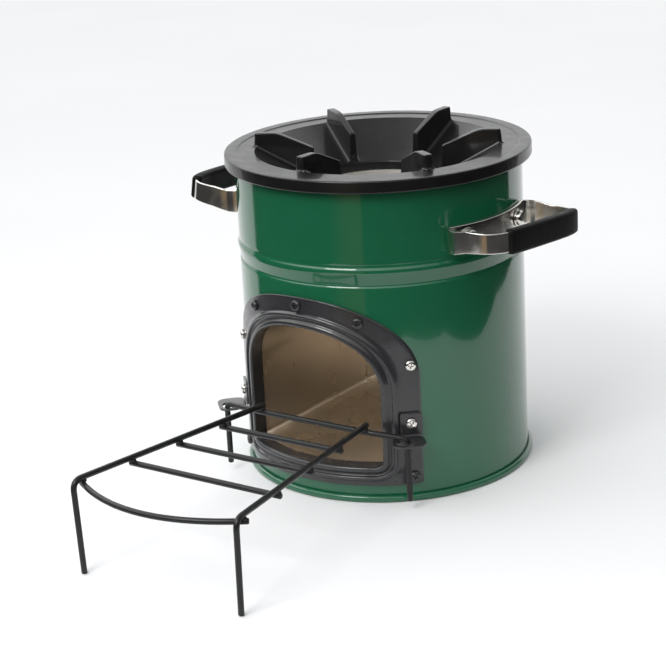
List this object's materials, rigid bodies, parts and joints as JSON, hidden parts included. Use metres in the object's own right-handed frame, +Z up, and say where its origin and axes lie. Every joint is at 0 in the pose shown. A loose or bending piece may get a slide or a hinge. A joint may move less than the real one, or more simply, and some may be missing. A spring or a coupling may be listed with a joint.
{
  "type": "rocket stove",
  "caption": "Round wood-fired rocket stove: enamelled drum, cast pot-rest top, arched feed door, side carrying handles and a wire stick rack hooked on in front.",
  "frame": {"origin": "centre of the underside of the flat base", "axes": "+Z up, feed door and stick rack towards -Y, +X to the right of someone standing behind the stove and looking out over the door"},
  "size_m": [0.3362, 0.4717, 0.2833],
  "materials": {
    "green_enamel": "gloss dark green enamel",
    "black_casting": "satin black, fine cast grain",
    "black_enamel": "semi-gloss black",
    "black_wire": "satin black",
    "plated_steel": "bright plated",
    "firebox_steel": "bright rolled stainless, slightly heat tinted",
    "black_grip": "matte black, moulded",
    "insulation": "pale mineral fibre"
  },
  "bodies": {
    "stove": {"base_pan": "green_enamel", "outer_casing": "green_enamel", "firebox_liner": "firebox_steel", "firebox_back": "firebox_steel", "chimney_liner": "firebox_steel", "insulation_lower": "insulation", "insulation_upper": "insulation", "inner_cover": "firebox_steel", "door_frame": "black_enamel", "frame_screw_top": "black_enamel", "frame_screw_arch_left": "black_enamel", "frame_screw_arch_right": "black_enamel", "frame_screw_upper_left": "plated_steel", "frame_screw_upper_right": "plated_steel", "frame_screw_corner_left": "black_enamel", "frame_screw_corner_right": "black_enamel", "bracket_screw_left": "plated_steel", "bracket_screw_right": "plated_steel", "rack_bracket_left": "black_enamel", "handle_strap_left": "plated_steel", "handle_grip_left": "black_grip", "rack_bracket_right": "black_enamel", "handle_strap_right": "plated_steel", "handle_grip_right": "black_grip", "handle_bolt_left_front": "plated_steel", "handle_bolt_left_back": "plated_steel", "handle_bolt_right_front": "plated_steel", "handle_bolt_right_back": "plated_steel", "handle_nut_left_front": "plated_steel", "handle_nut_left_back": "plated_steel", "handle_nut_right_front": "plated_steel", "handle_nut_right_back": "plated_steel"},
    "top": {"cast_top": "black_casting"},
    "rack": {"rack_side_wire_left": "black_wire", "rack_side_wire_right": "black_wire", "rack_hook_rod": "black_wire", "rack_bar_front": "black_wire", "rack_bar_middle": "black_wire", "rack_bar_rear": "black_wire", "rack_front_bar": "black_wire"}
  },
  "joints": [
    {"name": "rack_lift", "type": "slide", "parent": "stove", "child": "rack", "axis": [0, 0, 1], "range_m": [0, 0.06]},
    {"name": "top_lift", "type": "slide", "parent": "stove", "child": "top", "axis": [0, 0, 1], "range_m": [0, 0.05]}
  ]
}
